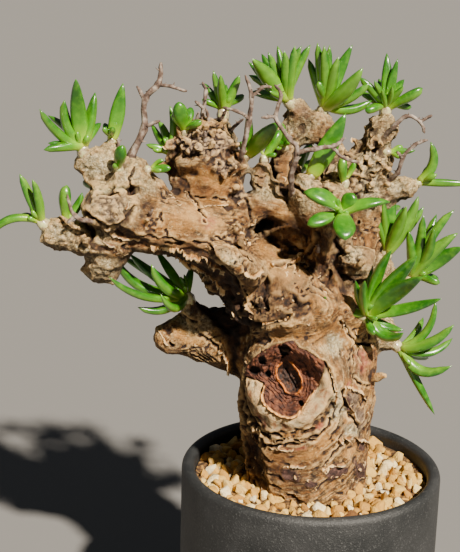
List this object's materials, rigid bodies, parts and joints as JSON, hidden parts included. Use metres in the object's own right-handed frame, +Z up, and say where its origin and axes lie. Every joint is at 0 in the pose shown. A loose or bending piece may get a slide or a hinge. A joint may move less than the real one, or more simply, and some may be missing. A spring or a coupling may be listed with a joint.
{
  "type": "potted tylecodon",
  "caption": "Caudex succulent with a swollen branching trunk and finger leaves, standing in a round straight-sided pot.",
  "frame": {"origin": "middle of the pot's flat base", "axes": "+Z up, +X to the viewer's right in the picture and -Y towards the viewer"},
  "size_m": [0.2063, 0.12, 0.2974],
  "materials": {
    "pot": "matte",
    "grit": "matte",
    "bark": "matte",
    "leaf": "satin",
    "dry_stalk": "matte"
  },
  "bodies": {
    "root": {"caudex": "bark", "dry_stalk_far_left": "dry_stalk", "dry_stalk_front": "dry_stalk", "dry_stalk_knob": "dry_stalk", "dry_stalk_left": "dry_stalk", "dry_stalk_mid": "dry_stalk", "dry_stalk_right": "dry_stalk", "dry_stalk_right_side": "dry_stalk", "leaves_back_left": "leaf", "leaves_back_limb": "leaf", "leaves_back_right": "leaf", "leaves_far_left": "leaf", "leaves_far_left_inner": "leaf", "leaves_five_leaf": "leaf", "leaves_knob_left": "leaf", "leaves_knob_top": "leaf", "leaves_left_low": "leaf", "leaves_mid_front": "leaf", "leaves_mid_left": "leaf", "leaves_pale_stub": "leaf", "leaves_right_back": "leaf", "leaves_right_front": "leaf", "leaves_right_low": "leaf", "leaves_right_side": "leaf", "leaves_right_small": "leaf", "leaves_right_top": "leaf", "leaves_right_upper": "leaf", "leaves_second_column": "leaf", "leaves_small_leaf": "leaf", "leaves_thick_side": "leaf", "leaves_thin_branch": "leaf", "leaves_top_left": "leaf", "leaves_top_right": "leaf", "leaves_upper_left": "leaf", "leaves_upper_left_finger": "leaf", "leaves_upper_left_inner": "leaf", "leaves_upper_left_single": "leaf", "pot": "pot", "potting_mix": "grit"}
  },
  "joints": []
}
